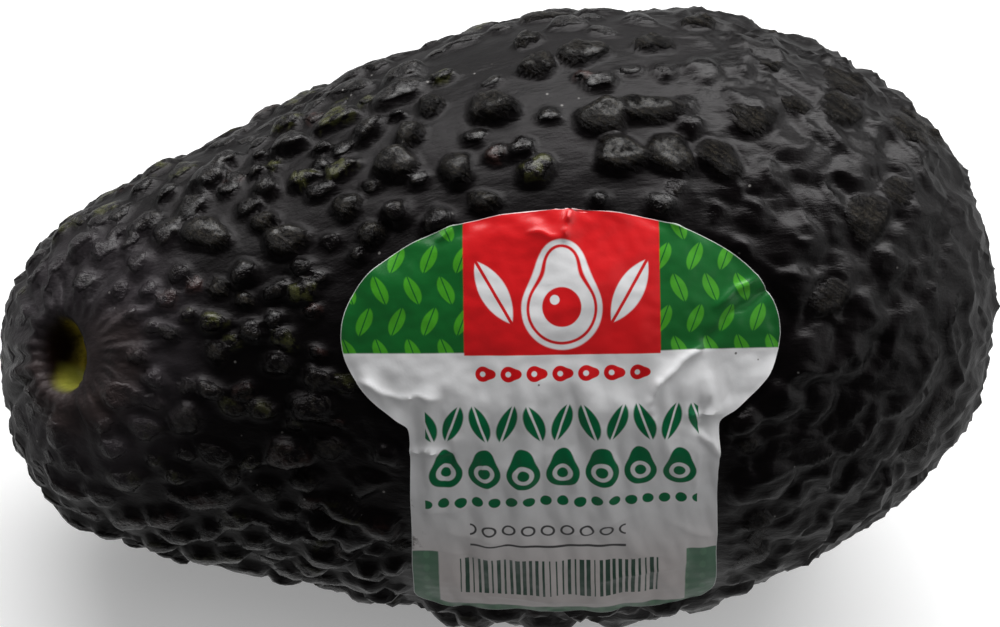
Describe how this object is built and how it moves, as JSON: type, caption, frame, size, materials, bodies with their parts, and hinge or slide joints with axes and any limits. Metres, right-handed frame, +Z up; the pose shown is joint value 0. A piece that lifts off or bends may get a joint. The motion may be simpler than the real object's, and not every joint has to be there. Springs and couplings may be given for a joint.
{
  "type": "avocado",
  "caption": "Ripe dark avocado lying on its side: warty skin, a slim neck with a stem hollow, and a creased film label wrapped round the flank.",
  "frame": {"origin": "middle of the fruit's box in plan, at the level of the flat spot that it rests on", "axes": "+X from the stem end to the blossom end, +Z up from the table, -Y towards the side that carries the label"},
  "size_m": [0.1094, 0.0686, 0.0674],
  "materials": {
    "skin": "near-black ripe fruit skin with a dull sheen, warts with drier grey-brown and olive tops",
    "film": "thin white plastic film printed in green and red, half-gloss and creased"
  },
  "bodies": {
    "root": {"avocado": "skin", "label": "film"}
  },
  "joints": []
}
